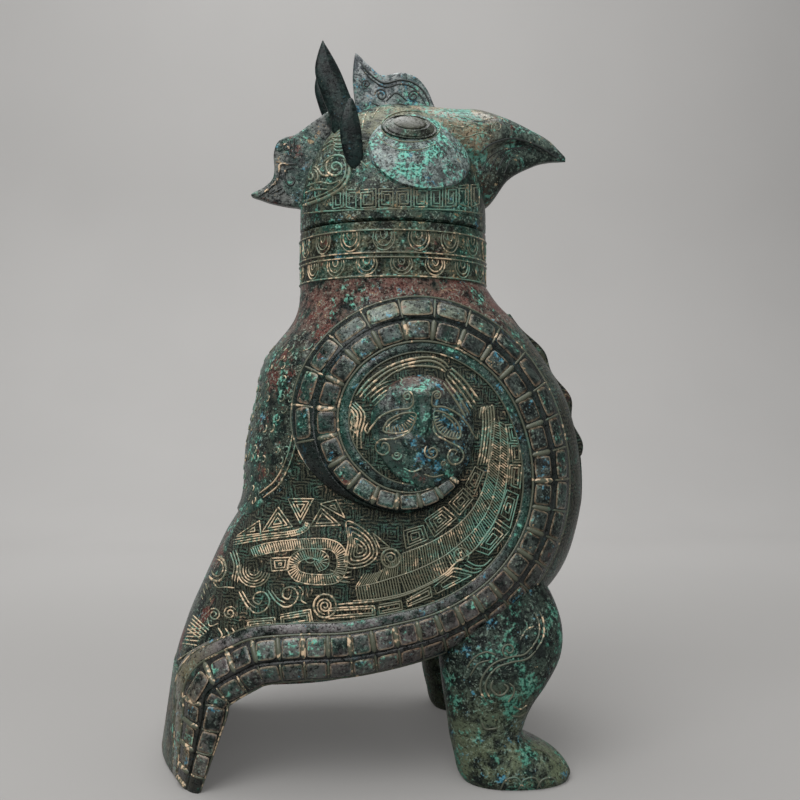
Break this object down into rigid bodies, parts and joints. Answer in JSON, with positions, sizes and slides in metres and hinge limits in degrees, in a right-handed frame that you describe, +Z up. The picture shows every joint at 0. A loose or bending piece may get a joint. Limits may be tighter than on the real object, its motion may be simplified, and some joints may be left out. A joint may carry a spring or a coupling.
{
  "type": "bronze owl zun wine vessel",
  "caption": "Lidded bronze wine vessel in the form of a standing bird: the head lifts off as the lid, coiled snakes fill the wings, and the legs and fanned tail stand it up.",
  "frame": {"origin": "the middle of the object's box, on the ground that its feet and tail stand on", "axes": "+X the way the bird faces, +Y to its left, +Z up"},
  "size_m": [0.2852, 0.2, 0.4631],
  "materials": {
    "dark_bronze": "dark green-black patina with malachite and azurite patches",
    "olive_bronze": "olive-brown patina, rubbed paler on raised lines",
    "green_bronze": "malachite green patina, mottled dark",
    "blue_bronze": "blue-green patina with grey sheen",
    "black_bronze": "almost black patina with blue specks",
    "grey_bronze": "grey-lilac patina with teal in the hollows",
    "clay_core": "fired clay, unglazed"
  },
  "bodies": {
    "vessel": {"belly_shell": "dark_bronze", "neck_collar": "olive_bronze", "right_wing": "dark_bronze", "left_wing": "dark_bronze", "right_snake": "blue_bronze", "left_snake": "blue_bronze", "right_snake_head": "blue_bronze", "left_snake_head": "blue_bronze", "breast_flange": "dark_bronze", "right_leg": "green_bronze", "left_leg": "green_bronze", "right_leg_core": "clay_core", "left_leg_core": "clay_core", "tail": "olive_bronze"},
    "lid_ring": {"lid_spigot": "dark_bronze"},
    "head": {"head_shell": "dark_bronze", "bill": "olive_bronze", "right_cheek": "green_bronze", "left_cheek": "green_bronze", "right_eye": "grey_bronze", "left_eye": "grey_bronze", "crest": "grey_bronze", "nape_flange": "grey_bronze", "right_horn": "black_bronze", "left_horn": "black_bronze", "right_ear": "black_bronze", "left_ear": "black_bronze"}
  },
  "joints": [
    {"name": "lid_lift", "type": "slide", "parent": "vessel", "child": "lid_ring", "axis": [0, 0, 1], "range_m": [0, 0.08]},
    {"name": "lid_turn", "type": "hinge", "parent": "lid_ring", "child": "head", "pos_m": [0.01175, 0, 0.345], "axis": [0, 0, 1], "continuous": true}
  ]
}
